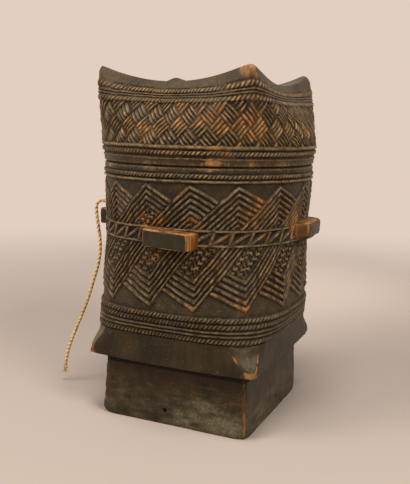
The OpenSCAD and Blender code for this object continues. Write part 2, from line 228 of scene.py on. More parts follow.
def softened(relief, n):
    """Relief averaged over n points to each side, twice."""
    for _ in range(2):
        relief = sum(np.roll(relief, k, 1) for k in range(-n, n + 1)) / (2 * n + 1)
        padded = np.pad(relief, ((n, n), (0, 0)), "edge")
        relief = sum(padded[k:k + len(relief)] for k in range(2 * n + 1)) / (2 * n + 1)
    return relief


# Wall: square above the skirt and round at the rim, carved all over
wall_low, bands_top, belt_low, belt_top, field_top, wall_top = 59.2, 75.7, 117.1, 127.3, 153.7, 162.7
rim_band_top = 159.4
wall_mean_r = 65.5
wall_theta = turns(1024)
wall_z = np.linspace(wall_low, wall_top, 262)[:, None]
wall_wide = faired(wall_z, [50, bands_top, belt_low, 172], [112, 126, 127, 135.4], 3)
wall_diag = faired(wall_z, [50, bands_top, belt_low, belt_top, 172], [145.2, 139, 132, 132, 134.5], 3)
z = wall_z + 0.35 * wander(wall_theta, wall_z, 14, 40, 31) + 0.16 * wander(wall_theta, wall_z, 90, 9, 32)
arc = wall_mean_r * wall_theta + 0.5 * wander(wall_theta, wall_z, 60, 9, 33)
turn = arc / (wall_mean_r * 2 * np.pi)
knife = 1 + 0.28 * wander(wall_theta, wall_z, 170, 6, 34)


def hooks(across, along, seed):
    """Short hooked bars in crooked columns, between the limbs of a chevron."""
    column = along / 7.2 + 0.12 * wander(wall_theta, wall_z, 110, 4.0, seed)
    bars = strand(across / 3.9 + 0.5 * (np.floor(column) % 2) + 0.16 * np.sin(4 * np.pi * column))
    return -0.9 + 1.5 * bars * (0.15 + 0.85 * strand(column) ** 0.6)


# Lower field: nested V strands, the long limb to the right lying over the short one
lower_count, lower_start = 14, math.radians(-98.0)
lower_tip = 78.3
long_slope, short_slope = 1.3, 0.52
long_deep, short_deep = 21.5, 19.5
strand_wide = 4.0
step = wall_mean_r * 2 * np.pi / lower_count
off = (arc - wall_mean_r * lower_start) % step
long_limb = z - lower_tip - long_slope * off
short_limb = z - lower_tip - short_slope * (step - off)
on_long = long_limb >= 0
depth = np.where(on_long, long_limb, short_limb)
strands = -0.95 + 1.55 * knife * strand(depth / strand_wide)
inner = depth > np.where(on_long, long_deep, short_deep)
lower = np.where(depth < 0, -0.6, np.where(inner, hooks(short_limb, long_limb, 35), strands))
in_lower = (z > bands_top) & (z < belt_low)
lower_ground = in_lower & (depth < 0)
relief = np.where(in_lower, lower, 0.0)

# Upper field: the same work upside down, with hooks in one chevron of five
upper_count, upper_start = 15, math.radians(-75.2)
upper_tip = 153.2
long_slope, short_slope = 0.963, 0.55
long_deep, short_deep = 18.0, 15.5
unhooked_deeper = 5.4
strand_wide = 3.6
step = wall_mean_r * 2 * np.pi / upper_count
along = arc - wall_mean_r * upper_start
off = along % step
long_limb = upper_tip - z - long_slope * (step - off)
short_limb = upper_tip - z - short_slope * off
on_long = long_limb >= 0
depth = np.where(on_long, long_limb, short_limb)
strands = -0.95 + 1.55 * knife * strand(depth / strand_wide)
hooked = (np.floor(along / step).astype(int) + on_long) % 5 == 4
inner = depth > np.where(on_long, long_deep, short_deep) + np.where(hooked, 0.0, unhooked_deeper)
upper = np.where(depth < 0, -0.55, np.where(inner, hooks(short_limb, long_limb, 36), strands))
in_upper = (z > belt_top) & (z < field_top)
upper_ground = in_upper & (depth < 0)
relief = np.where(in_upper, upper, relief)

# Belt: slanting cells, each parted by a raised stroke, between two thin ridges
belt_cells, belt_middle = 36, 122.2
cell_low, cell_tall = 118.5, 7.4
cell = (turn * belt_cells + 0.4 - 0.032 * (z - belt_middle)) % 1
level = (z - cell_low) / cell_tall
slope = (cell - 0.5) / 0.8 + 0.5
stroke = np.abs(slope - level)
belt = np.where(level > slope, -0.85, -0.5 + 0.5 * strand(stroke * 2.6))
belt = np.maximum(belt, 0.75 - 5.0 * np.maximum(stroke - 0.09, 0))
belt = np.maximum(belt, 0.85 - 14.0 * np.maximum(np.minimum(cell, 1 - cell) - 0.055, 0))
relief = np.where((z > belt_low) & (z < belt_top), belt, relief)
for low, high in ((belt_low, 118.7), (125.7, belt_top)):
    relief = np.where((z > low) & (z < high), -0.3 + 1.2 * half_round(z, low, high), relief)

# Rope bands and ridges above the skirt and under the rim
relief = np.where((z < bands_top) | ((z > field_top) & (z < rim_band_top)), -0.4, relief)
for low, high, count in ((59.8, 63.1, 166), (68.5, 71.8, 164), (72.4, bands_top, 162), (156.1, 158.8, 170)):
    relief = np.where((z > low) & (z < high), rope(turn, z, low, high, count), relief)
for low, high in ((63.7, 65.5), (66.1, 67.9), (field_top, 155.5)):
    relief = np.where((z > low) & (z < high), -0.4 + 1.25 * half_round(z, low, high), relief)
relief = relief - 0.9 * eased(wall_z, 161.5, wall_top) ** 2

# Wear of the wall: bare on the rim, around the lugs and on the corners above the skirt
wall_rub = spots(wall_theta, wall_z, [
    (-96, 161, 5, 2, 0.9), (-64, 161, 6, 2, 0.8), (-28, 161, 7, 2, 0.9), (-130, 161, 5, 2, 0.7),
    (-47, 66, 10, 8, 0.4), (-74, 78, 3, 5, 0.8), (-48, 80, 4, 5, 0.6), (-87, 131, 15, 6, 1.0),
    (-82, 150, 4, 4, 0.7), (-60, 150, 5, 4, 0.8), (-38, 142, 6, 12, 0.6), (-14, 128, 6, 10, 0.7),
    (-84, 112, 8, 8, 0.8), (-12, 62, 18, 12, 0.25), (40, 161, 14, 3, 0.8), (110, 161, 20, 3, 0.8),
    (200, 161, 16, 3, 0.8), (45, 68, 14, 12, 0.7), (135, 68, 14, 12, 0.7), (-135, 66, 12, 10, 0.6)])
patches = wander(wall_theta, wall_z, 30, 12, 41) + 0.5 * wander(wall_theta, wall_z, 120, 3.5, 42)
in_fields = (wall_z < field_top) & (wall_z > bands_top)
wall_rub = np.clip(wall_rub * (0.8 + 0.6 * patches) + (0.25 + 0.3 * patches) * in_fields, 0, 1)
wall_rub = wall_rub * (1 - 0.5 * upper_ground)
relief = relief * (1 - 0.25 * wall_rub) + 0.12 * wander(wall_theta, wall_z, 420, 1.1, 43)
ridge = np.clip((relief - softened(relief, 4)) / 0.75, -1, 1)
ridge = np.where(lower_ground, np.minimum(ridge, 0.0) - 0.22, ridge)
ridge = ridge + 0.4 * wall_rub * (wall_z > rim_band_top) + 0.08 * upper_ground
ridge = ridge - 0.3 * np.maximum(ridge, 0) * (wall_z < bands_top)
wall_dust = 0.45 * lower_ground + 0.1 * upper_ground
wall_points = around(wall_theta, reach(wall_theta, wall_wide, wall_diag) + relief, wall_z)
wall_skin = skin(wall_points, ridge=ridge, rub=wall_rub, dust=wall_dust)

# Inner rim and hollow: scraped smooth, and stained by what was kept in the box
rim_r, rim_top = 57.85, 170.7
rim_root_r = 57.8
hollow_r, hollow_floor = 53.0, 50.6
bowl_theta = turns(256)


def scraped(rows, seed):
    """Rows of (radius, height) around the hollow, a little uneven from the scraper."""
    r, height = (np.array(c, float)[:, None] for c in zip(*rows))
    wave = 0.12 * wander(bowl_theta, height, 18, 12, seed)
    return around(bowl_theta, r + (wave + 0.05 * wander(bowl_theta, height, 90, 3, seed + 1)), height)


wall_edge_r = np.linalg.norm(wall_points[-1, :, :2], axis=1)
shoulder_r = np.stack([wall_edge_r, np.full_like(wall_theta, rim_root_r)])
rim_side = [(rim_r, h) for h in np.linspace(162.6, 170.1, 12)] + [(57.6, 170.5), (57.2, 170.68)]
rim_edge = [(57.2, 170.68), (55, rim_top), (53.6, 170.66), (53.2, 170.5), (53.05, 170.3)]
hollow = [(hollow_r, h) for h in np.linspace(170.3, 59.2, 60)]
hollow += [(52.6, 57.0), (51.0, 54.3), (48.5, 52.2), (45.0, 50.9)]
hollow += [(30.0, hollow_floor), (12.0, hollow_floor)]
rim_skins = [
    skin(around(wall_theta, shoulder_r, np.full((2, 1), wall_top)), rub=0.5),
    skin(scraped(rim_side, 51), rub=0.35, inside=0.3),
    skin(scraped(rim_edge, 52), rub=0.5, inside=0.4),
    skin(scraped(hollow, 53), inside=1.0, end=(0, 0, hollow_floor))]


def linked(name, data):
    """A new object in the scene."""
    made = bpy.data.objects.new(name, data)
    bpy.context.scene.collection.objects.link(made)
    return made


def carved_piece(name, skins):
    """One mesh from its skins. Each skin has its own strip of the bake map."""
    strip_gap, closed_end = 2, 5.0
    points, loops, sizes, uvs, base = [], [], [], [], 0
    marks = {key: [] for key in ("ridge", "rub", "dust", "inside")}
    spans = []
    for s in skins:
        step = np.linalg.norm(np.diff(s["points"], axis=0), axis=2).mean(1)
        ends = [closed_end if s[end] is not None else 0.0 for end in ("start", "end")]
        spans.append((np.concatenate([[0], np.cumsum(step)]) + ends[0], ends[1]))
    tall = sum(v[-1] + last + strip_gap for v, last in spans)
    low = 1.0
    for s, (v, last) in zip(skins, spans):
        rows, cols = s["points"].shape[:2]
        k = np.arange(cols)
        j = np.arange(rows - 1)[:, None]
        a, b = j * cols + k, j * cols + (k + 1) % cols
        quads = np.stack([a, b, b + cols, a + cols], 2).reshape(-1, 4)
        u0, u1 = 0.002 + 0.996 * k / cols, 0.002 + 0.996 * (k + 1) / cols
        v0, v1 = (low + v[:-1, None]) / tall, (low + v[1:, None]) / tall
        corners = [np.broadcast_arrays(u, w) for u, w in ((u0, v0), (u1, v0), (u1, v1), (u0, v1))]
        points.append(s["points"].reshape(-1, 3))
        loops.append((quads + base).ravel())
        sizes.append(np.full(len(quads), 4))
        uvs.append(np.stack([np.stack(c, 2) for c in corners], 2).reshape(-1, 2))
        for key in marks:
            marks[key].append(s["marks"][key].ravel())
        count = rows * cols
        for end, row, height, tip_height in (
                ("start", 0, v[0], 0.0), ("end", rows - 1, v[-1], v[-1] + last)):
            if s[end] is None:
                continue
            here, ahead = row * cols + k, row * cols + (k + 1) % cols
            pair, us = ((ahead, here), (u1, u0)) if end == "start" else ((here, ahead), (u0, u1))
            loops.append((np.stack([*pair, np.full(cols, count)], 1) + base).ravel())
            sizes.append(np.full(cols, 3))
            edge_v = np.full(cols, (low + height) / tall)
            tip_v = np.full(cols, (low + tip_height) / tall)
            corners = ((us[0], edge_v), (us[1], edge_v), ((u0 + u1) / 2, tip_v))
            uvs.append(np.stack([np.stack(c, 1) for c in corners], 1).reshape(-1, 2))
            points.append(np.asarray(s[end], float).reshape(1, 3))
            for key in marks:
                marks[key].append(s["marks"][key][row].mean(keepdims=True))
            count += 1
        base += count
        low += v[-1] + last + strip_gap
    points, loops, sizes = np.concatenate(points), np.concatenate(loops), np.concatenate(sizes)
    mesh = bpy.data.meshes.new(name)
    mesh.vertices.add(len(points))
    mesh.vertices.foreach_set("co", (points * 0.001).astype(np.float32).ravel())
    mesh.loops.add(len(loops))
    mesh.loops.foreach_set("vertex_index", loops.astype(np.int32))
    mesh.polygons.add(len(sizes))
    mesh.polygons.foreach_set("loop_start", (np.cumsum(sizes) - sizes).astype(np.int32))
    mesh.update(calc_edges=True)
    mesh.shade_smooth()
    bake = mesh.uv_layers.new(name="OFBake")
    bake.uv.foreach_set("vector", np.concatenate(uvs).astype(np.float32).ravel())
    for key, values in marks.items():
        mark = mesh.attributes.new(key, "FLOAT", "POINT")
        mark.data.foreach_set("value", np.concatenate(values).astype(np.float32))
    return linked(name, mesh)


container = carved_piece("container_body", [*foot_skins, *skirt_skins, wall_skin, *rim_skins])


class Tone:
    """A value in a finish. Sums and products of tones lay Math nodes."""

    def __init__(self, finish, socket):
        self.finish, self.socket = finish, socket

    def of(self, name):
        """Another output of the same node."""
        return Tone(self.finish, self.socket.node.outputs[name])

    def math(self, operation, a, b):
        """A Math node on two tones or numbers."""
        return self.finish.node("ShaderNodeMath", {"operation": operation}, {0: a, 1: b})

    def __add__(self, other):
        return self.math("ADD", self, other)

    def __radd__(self, other):
        return self.math("ADD", other, self)

    def __sub__(self, other):
        return self.math("SUBTRACT", self, other)

    def __rsub__(self, other):
        return self.math("SUBTRACT", other, self)

    def __mul__(self, other):
        return self.math("MULTIPLY", self, other)

    def __rmul__(self, other):
        return self.math("MULTIPLY", other, self)


class Finish:
    """The nodes of a material or of the world, laid from nothing."""

    def __init__(self, owner):
        owner.use_nodes = True
        self.owner = owner
        self.tree = owner.node_tree
        self.tree.nodes.clear()

    def node(self, kind, settings=None, sockets=None):
        """A node with its settings, then the values or links of its sockets."""
        made = self.tree.nodes.new(kind)
        for key, value in (settings or {}).items():
            setattr(made, key, value)
        for key, value in (sockets or {}).items():
            if isinstance(value, Tone):
                self.tree.links.new(value.socket, made.inputs[key])
            else:
                made.inputs[key].default_value = value
        return Tone(self, next((o for o in made.outputs if o.enabled), None))

    def mark(self, name):
        """What the mesh carries under this name."""
        return self.node("ShaderNodeAttribute", {"attribute_name": name}).of("Fac")

    def between(self, value, low, high):
        """From 0 at low to 1 at high, slow at both ends."""
        return self.node("ShaderNodeMapRange", {"interpolation_type": "SMOOTHSTEP"},
                         {"Value": value, "From Min": low, "From Max": high})

    def mix(self, a, b, share):
        """Colour a with a share of colour b."""
        return self.node("ShaderNodeMix", {"data_type": "RGBA"}, {0: share, 6: a, 7: b})

    def cloud(self, where, scale, detail):
        """Soft noise, about 0.5 on average."""
        return self.node("ShaderNodeTexNoise", {}, {"Vector": where, "Scale": scale, "Detail": detail})

    def stretched(self, where, scale):
        """Places scaled along each direction, so that noise there is drawn out."""
        return self.node("ShaderNodeVectorMath", {"operation": "MULTIPLY"}, {0: where, 1: scale})

    def seen(self):
        """1 where the ray is one that shows the background, in view or in a gloss."""
        path = self.node("ShaderNodeLightPath")
        return path.of("Is Camera Ray") + path.of("Is Glossy Ray") + path.of("Is Transmission Ray")

    def shown(self, shader, output="ShaderNodeOutputMaterial"):
        """The material or world, with this shader on its surface."""
        self.node(output, {}, {"Surface": shader})
        return self.owner


def stain(r, g, b):
    """A colour as it is seen, 0 to 255, as the shader wants it."""
    shares = (c / 255 for c in (r, g, b))
    return tuple(c / 12.92 if c < 0.0405 else ((c + 0.055) / 1.055) ** 2.4 for c in shares) + (1.0,)


def carved_wood(name, soot_and_shade, rust, brown, light, rubbed, bare, dusty, inner):
    """Old dark hardwood: sooty cuts that also hold painted shade, rubbed ridges that also hold a painted
    highlight, bare wood where it is worn through.
    """
    f = Finish(bpy.data.materials.new(name))
    where = f.node("ShaderNodeTexCoord").of("Object")
    ridge, rub, dust, inside = (f.mark(key) for key in ("ridge", "rub", "dust", "inside"))
    blotch = f.cloud(where, 45.0, 4.0)
    dab = f.cloud(where, 190.0, 3.0)
    speck = f.cloud(where, 700.0, 3.0)
    grain = f.cloud(f.stretched(where, (260.0, 260.0, 60.0)), 1.0, 4.0)
    # The bulk of the wood, browner where it is handled
    body = f.mix(brown, light, f.between(blotch * 0.8 + grain * 0.3, 0.36, 0.78))
    body = f.mix(body, rust, 0.5 * f.between(rub + dab * 0.6, 0.6, 1.2))
    # Ridges rubbed pale, with a painted highlight on their crests, some of them greyed by dust
    polish_and_highlight = f.mix(rubbed, dusty, 0.75 * f.between(blotch + dab * 0.4, 0.62, 0.8))
    top = f.between(ridge, 0.12, 0.75) * f.between(speck * 0.7 + dab * 0.9, 0.5, 1.05)
    body = f.mix(body, polish_and_highlight, top * 0.95)
    # Bare wood where wear has gone through
    raw = f.mix(bare, rust, f.between(grain + dab * 0.4, 0.5, 0.85))
    worn = f.between(rub * (0.4 + grain * 0.4 + dab * 0.7), 0.42, 0.8) * f.between(ridge, -0.35, 0.4)
    body = f.mix(body, raw, worn * 0.85)
    # Soot and painted shade in the cuts, rusty near worn places
    fill = f.mix(soot_and_shade, rust, 0.4 * f.between(rub + blotch * 0.4, 0.5, 0.95))
    cut = 1.0 - f.between(ridge, -0.7, -0.02)
    body = f.mix(body, fill, cut * 0.92)
    # A film of dust, and single grains of it everywhere
    film = f.between(dust * (0.5 + blotch * 0.4 + dab * 0.7), 0.2, 1.3)
    film = film * (0.5 + 0.5 * f.between(speck + dab * 0.3, 0.5, 0.8))
    body = f.mix(body, dusty, film * 0.75 + 0.2 * f.between(speck + dab * 0.3, 0.76, 0.86))
    # The stained inside
    lining = f.mix(inner, brown, f.between(blotch + grain * 0.3, 0.4, 0.8))
    body = f.mix(body, lining, inside * 0.85)
    rough = 0.34 + 0.24 * speck + 0.24 * cut + 0.22 * film
    grit = grain * 0.3 + dab * 0.4 + speck * 0.5
    bump = f.node("ShaderNodeBump", {}, {"Strength": 0.4, "Distance": 0.0004, "Height": grit})
    return f.shown(f.node("ShaderNodeBsdfPrincipled", {}, {
        "Base Color": body, "Roughness": rough, "Normal": bump, "Specular IOR Level": 0.26,
        "Specular Tint": (1.0, 0.86, 0.68, 1.0)}))


container.data.materials.append(carved_wood(
    "sooty_shaded_carved_wood", soot_and_shade=stain(17, 11, 6), rust=stain(88, 56, 26), brown=stain(35, 29, 20),
    light=stain(63, 51, 35), rubbed=stain(160, 122, 74), bare=stain(194, 134, 74),
    dusty=stain(128, 118, 90), inner=stain(92, 52, 36)))
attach(container, "container")
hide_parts("container")

# Lid. One more block: round where it meets the rim, square on top and drawn up to four
# corner points, carved with a plaited field between rope bands and hollowed from below
# so that it slips over the inner rim.
lid_low, shoulder_low, lid_rim = 163.0, 174.0, 210.9
lid_flare = lid_rim - shoulder_low
point_rise = 9.1
seam_wide, shoulder_wide = 134, 136.6
lean = np.array([-1.5, -0.6, 0.0])
lid_theta = turns(1024)
lid_angle = np.degrees(lid_theta)
lid_z = np.linspace(lid_low, lid_rim, 124)[:, None]
share = np.maximum(0, (lid_z - shoulder_low) / lid_flare)
drawn = lid_theta + math.radians(0.5) * np.exp(-(from_angle(lid_theta, -45) / 16) ** 2)
cosine, sine = np.abs(np.cos(drawn)), np.abs(np.sin(drawn))
lift = (np.minimum(cosine, sine) / np.maximum(cosine, sine)) ** 2
lift = (1 - np.sqrt((1 - lift) ** 2 + 0.17 ** 2)) / 0.83
lift = lift * (1 - 0.09 * np.exp(-((lid_angle - 135) / 20) ** 2))
flared = faired(share, [0, 0.16, 0.5, 0.8, 1], [shoulder_wide, 134, 121.2, 107.1, 99], 0.06)
flared = flared - (flared - shoulder_wide) * eased(0.08 - share, 0, 0.08)
swelling = seam_wide + (shoulder_wide - seam_wide) * (lid_z - lid_low) / (shoulder_low - lid_low)
lid_wide = np.where(share > 0, flared, swelling)
lid_diag = np.where(share > 0, shoulder_wide + 1.8 * share + 2.4 * eased(share, 0.15, 0.7), lid_wide)
from_corner = np.abs(lid_angle % 90 - 45)
bevel = 1 - np.sqrt(1 - np.clip((share - 0.94) / 0.06, 0, 1) ** 2)
tip_wear = np.array([2.8, 3.0, 0.6, 1.2])[np.floor(lid_theta / (np.pi / 2)).astype(int) % 4]
lid_r = reach(lid_theta, lid_wide, lid_diag)
lid_r = lid_r - 0.8 * np.exp(-(from_corner / 2.2) ** 2) * eased(share, 0.86, 1.0)
lid_r = lid_r - bevel * (0.5 + tip_wear * np.exp(-(from_corner / 7) ** 2))
for corner_angle, pull in ((45, 3.0), (225, 0.9)):
    lid_r = lid_r + pull * np.exp(-((lid_angle - corner_angle) / 20) ** 2) * eased(share, 0.0, 0.55)
z = lid_z + 0.3 * wander(lid_theta, lid_z, 16, 40, 71) + 0.14 * wander(lid_theta, lid_z, 90, 9, 72)
turn = lid_theta / (2 * np.pi) + 0.0014 * wander(lid_theta, lid_z, 60, 9, 73)
knife = 1 + 0.3 * wander(lid_theta, lid_z, 170, 6, 78)

# Plaited field: rows of diamonds, strands leaning left in one row and right in the next
plait_low, plait_top, band_top = 174.9, 198.5, 206.6
foot_band_top = 167.6
diamonds = 36
diamond_middle, diamond_tall = 191.6, 13.6
along, up = turn * diamonds + 0.15, (z - diamond_middle) / diamond_tall
falling, rising = along + up, along - up
to_left = (np.floor(falling) - np.floor(rising)) % 2 == 0
across = np.where(to_left, falling, rising) % 1
length = np.where(to_left, rising, falling) % 1
shades = np.random.default_rng(79).uniform(-1, 1, (diamonds, diamonds))
each = shades[np.floor(falling).astype(int) % diamonds, np.floor(rising).astype(int) % diamonds]
ends = 0.12 + 0.88 * np.sin(np.pi * length) ** 0.55
plait = -1.1 + 1.6 * knife * (1 + 0.12 * each) * strand(across * 4) * ends
in_plait = (z > plait_low) & (z < plait_top)
in_low_bands = (z > foot_band_top) & (z < plait_low)
relief = np.where(in_plait, plait, 0.0)

# Rope bands and ridges under and over the plait
relief = np.where(in_low_bands | ((z > plait_top) & (z < band_top)), -0.4, relief)
for low, high, count in ((169.2, 171.9, 168), (plait_top, 201.1, 166), (203.8, 206.4, 166)):
    relief = np.where((z > low) & (z < high), rope(turn, z, low, high, count), relief)
for low, high in ((172.5, plait_low), (201.3, 202.4), (202.6, 203.7)):
    relief = np.where((z > low) & (z < high), -0.4 + 1.1 * half_round(z, low, high), relief)
relief = relief + 0.3 * eased(lid_z, 166.4, 167.2) * (z < foot_band_top)
relief = relief - 0.9 * eased(164.2 - lid_z, 0, 1.2) ** 2

# Wear of the lid: bare along the seam and on the corner points, brown over the plait
lid_rub = spots(lid_theta, lid_z, [
    (-98, 165, 4, 3, 0.8), (-66, 165.5, 7, 2.5, 1.0), (-45, 165, 4, 3, 0.7), (-26, 165, 6, 2.5, 0.9),
    (-70, 173.7, 9, 1.5, 0.9), (-46, 186, 8, 9, 0.6), (-24, 180, 8, 6, 0.45), (-100, 184, 12, 8, 0.35),
    (-66, 186, 10, 7, 0.4), (-46, 210, 3.5, 4, 1.4), (45, 211, 4, 4, 1.1), (135, 211, 4, 4, 1.1),
    (-134, 208, 3, 5, 0.8), (60, 165, 18, 4, 0.8), (150, 166, 22, 4, 0.8), (-160, 165, 12, 4, 0.7),
    (100, 186, 30, 7, 0.5)])
patches = wander(lid_theta, lid_z, 30, 10, 74) + 0.5 * wander(lid_theta, lid_z, 120, 3.5, 75)
plait_rub = in_plait * (0.22 + 0.25 * patches + 0.2 * each + np.where(to_left, -0.12, 0.22))
band_rub = in_low_bands * (0.3 + 0.3 * patches)
lid_rub = np.clip(lid_rub * (0.8 + 0.6 * patches) + plait_rub + band_rub, 0, 1)
lid_rub = np.maximum(lid_rub, spots(lid_theta, lid_z, [
    (-48, 210, 3.5, 4, 0.9), (-44, 208, 3, 2, 0.8), (-134, 208, 3, 4, 0.6), (-46, 198, 2, 4, 0.9),
    (-46, 180, 2, 5, 0.9)]))
relief = relief * (1 - 0.25 * lid_rub) + 0.12 * wander(lid_theta, lid_z, 420, 1.1, 76)
ridge = np.clip((relief - softened(relief, 4)) / 0.75, -1, 1)
ridge = np.where((lid_z > band_top) | (lid_z < 167.5), ridge + 0.5 * lid_rub, ridge)
lid_dust = 0.38 * eased(lid_z, 205.6, 206.4) + spots(lid_theta, lid_z, [(0, 200, 22, 12, 0.6)])
lid_dust = lid_dust * (1 - lid_rub)
lid_side = around(lid_theta, lid_r + relief, lid_z + point_rise * lift * share ** 4.3)
lid_side = lid_side + lean * (share ** 2)[..., None]

# Top: level in the middle, swept up to the points, its edges worn round
edge_r = np.linalg.norm((lid_side[-1] - lean)[:, :2], axis=1)
inward = np.concatenate([
    [1.0, 0.997, 0.992, 0.985], np.linspace(0.97, 0.3, 34), np.linspace(0.26, 0.06, 6)])[:, None]
top_r = edge_r * inward
top_z = lid_rim + point_rise * lift * np.maximum(0, (inward - 0.3) / 0.7) ** 3
scrape = 0.12 * wander(lid_theta, top_r, 40, 9, 77) * eased(top_r, 4, 30)
top_rub = spots(lid_theta, top_r, [(angle, 72, 5, 5, 0.9) for angle in (-135, -47, 45, 135)])
top_rub = np.clip(top_rub + 0.35 * eased(inward, 0.93, 1.0), 0, 1)
lid_top = around(lid_theta, top_r, top_z + scrape * (inward < 0.98)) + lean

# Underside: the seat over the inner rim, and the hollow above it
seat_r, seat_top = 58.45, 171.1
roof = 197.9
seam_r = np.stack([np.full_like(lid_theta, 58.5), np.linalg.norm(lid_side[0, :, :2], axis=1)])
lid_hollow = [(38.0 + 14.0 * (roof - h) / 26.8, h) for h in np.linspace(197.7, 171.4, 16)]
lid_hollow += [(52.3, seat_top), (58.4, seat_top), (seat_r, 170.6)]
lid_hollow += [(seat_r, h) for h in np.linspace(169, 163.3, 6)] + [(58.6, lid_low)]
lid = carved_piece("lid_body", [
    skin(around(lid_theta, seam_r, np.full((2, 1), lid_low)), rub=0.5),
    skin(lid_side, ridge=ridge, rub=lid_rub, dust=lid_dust),
    skin(lid_top, rub=top_rub, dust=0.45 * (1 - top_rub), end=(*lean[:2], lid_rim)),
    skin(scraped(lid_hollow, 81), rub=0.15, inside=0.8, start=(0, 0, roof))])
lid.data.materials.append(carved_wood(
    "sooty_shaded_lid_wood", soot_and_shade=stain(20, 12, 6), rust=stain(104, 70, 33), brown=stain(44, 34, 21),
    light=stain(78, 61, 39), rubbed=stain(186, 144, 90), bare=stain(202, 146, 86),
    dusty=stain(108, 100, 80), inner=stain(92, 52, 36)))
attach(lid, "lid")
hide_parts("lid")

# Lugs. Four ears left standing on the belt when the wall was hewn, each drilled near one
# end for a carrying cord. Their outer edges and ends are worn to bare wood.
lug_half_deep, lug_half_high = 6.5, 5.25
lug_middle_r = 66.0
lug_flare = 2.8
bore_along, bore_out = 8.95, 2.1
bore_r = 2.3
lug_wood = carved_wood(
    "worn_lug_wood", soot_and_shade=stain(20, 12, 6), rust=stain(118, 68, 30), brown=stain(36, 31, 23),
    light=stain(58, 50, 37), rubbed=stain(176, 134, 82), bare=stain(196, 134, 72),
    dusty=stain(92, 90, 76), inner=stain(92, 52, 36))


def points_of(mesh):
    """The mesh's points in its own units."""
    points = np.zeros(len(mesh.vertices) * 3)
    mesh.vertices.foreach_get("co", points)
    return points.reshape(-1, 3)


def flare(half, p):
    """How much wider a lug is at a point, growing toward the wall."""
    return 1 + lug_flare / half[0] * (lug_half_deep - p[:, 1]) / (2 * lug_half_deep)


def lug_block(name, half, rounding, rng):
    """A mesh for a lug, and its points along, out and up: rounded over, flared and uneven."""
    shape = bmesh.new()
    bmesh.ops.create_cube(shape, size=2.0)
    bmesh.ops.subdivide_edges(shape, edges=shape.edges, cuts=35, use_grid_fill=True)
    mesh = bpy.data.meshes.new(name)
    shape.to_mesh(mesh)
    shape.free()
    p = points_of(mesh)
    p = p * (1.45 - 0.45 * p ** 2) * half
    core = np.clip(p, -(half - rounding), half - rounding)
    off = p - core
    p = core + rounding * off / np.maximum(np.linalg.norm(off, axis=1), 1e-9)[:, None]
    p[:, 0] *= flare(half, p)
    for size, wave in ((0.22, 0.25), (0.1, 0.9)):
        way, turn_by = rng.normal(0, wave, (3, 3)), rng.uniform(0, 6.28, 3)
        p = p + size * np.sin(p @ way + turn_by)
    return mesh, p


def drilled(piece, place):
    """The piece's mesh with a round hole down through it at a place."""
    shape = bmesh.new()
    bmesh.ops.create_cone(
        shape, cap_ends=True, segments=40, radius1=bore_r * 0.001, radius2=bore_r * 0.001, depth=0.03)
    drill = bpy.data.meshes.new("drill")
    shape.to_mesh(drill)
    shape.free()
    drill.transform(Matrix.Translation([c * 0.001 for c in place]))
    cutter = linked("drill", drill)
    cut = piece.modifiers.new("bore", "BOOLEAN")
    cut.object, cut.operation, cut.solver = cutter, "DIFFERENCE", "EXACT"
    mesh = bpy.data.meshes.new_from_object(piece.evaluated_get(bpy.context.evaluated_depsgraph_get()))
    piece.modifiers.clear()
    bpy.data.objects.remove(cutter)
    mesh.shade_smooth()
    mesh.set_sharp_from_angle(angle=0.7)
    return mesh


def lug_marks(p, half, rng, end_wear, face_wear):
    """Where a lug is rubbed or dusty, and painted shade at its root against the wall, by its points along,
    out and up.
    """
    gap = np.sort(np.abs(half - np.abs(p)), axis=1)
    edge = np.exp(-(gap[:, 1] / 0.9) ** 2)
    hole = np.hypot(p[:, 0] - bore_along, p[:, 1] - bore_out)
    wave = np.sin(p @ rng.normal(0, 0.7, (3, 5)) + rng.uniform(0, 6.28, 5)).mean(1)
    streak = np.sin(p[:, 1] * 3.1 + 2 * wave) * 0.5 + 0.5
    end, top = eased(p[:, 0] - half[0], -1.65, -0.35), eased(p[:, 2], 4.2, 5.0)
    far_end = eased(-p[:, 0] - half[0], -1.65, -0.35)
    outer = eased(p[:, 1], 4.6, 6.0) * (0.8 + 0.5 * wave)
    # Edges rubbed pale; painted shade toward the wall, at the lug's root
    ridge = edge * (0.8 + 0.4 * wave) - 0.5 * eased(-p[:, 1], 0.5, 4.0)
    ridge = ridge + 0.5 * end * streak * (end_wear > 0)
    rub = end_wear * end * (0.6 + 0.5 * streak) + 0.65 * far_end + top * (1.1 + 0.6 * wave) + 0.25 * edge
    rub = rub + face_wear * outer + 0.5 * eased(-p[:, 1], 0.0, 3.0) + 0.4 * eased(3.0 - hole, 0, 0.8)
    dust = 0.35 * (1 - end) * (1 - top) * (1 - far_end)
    return {"ridge": ridge, "rub": np.clip(rub, 0, 1), "dust": dust, "inside": 0 * edge}


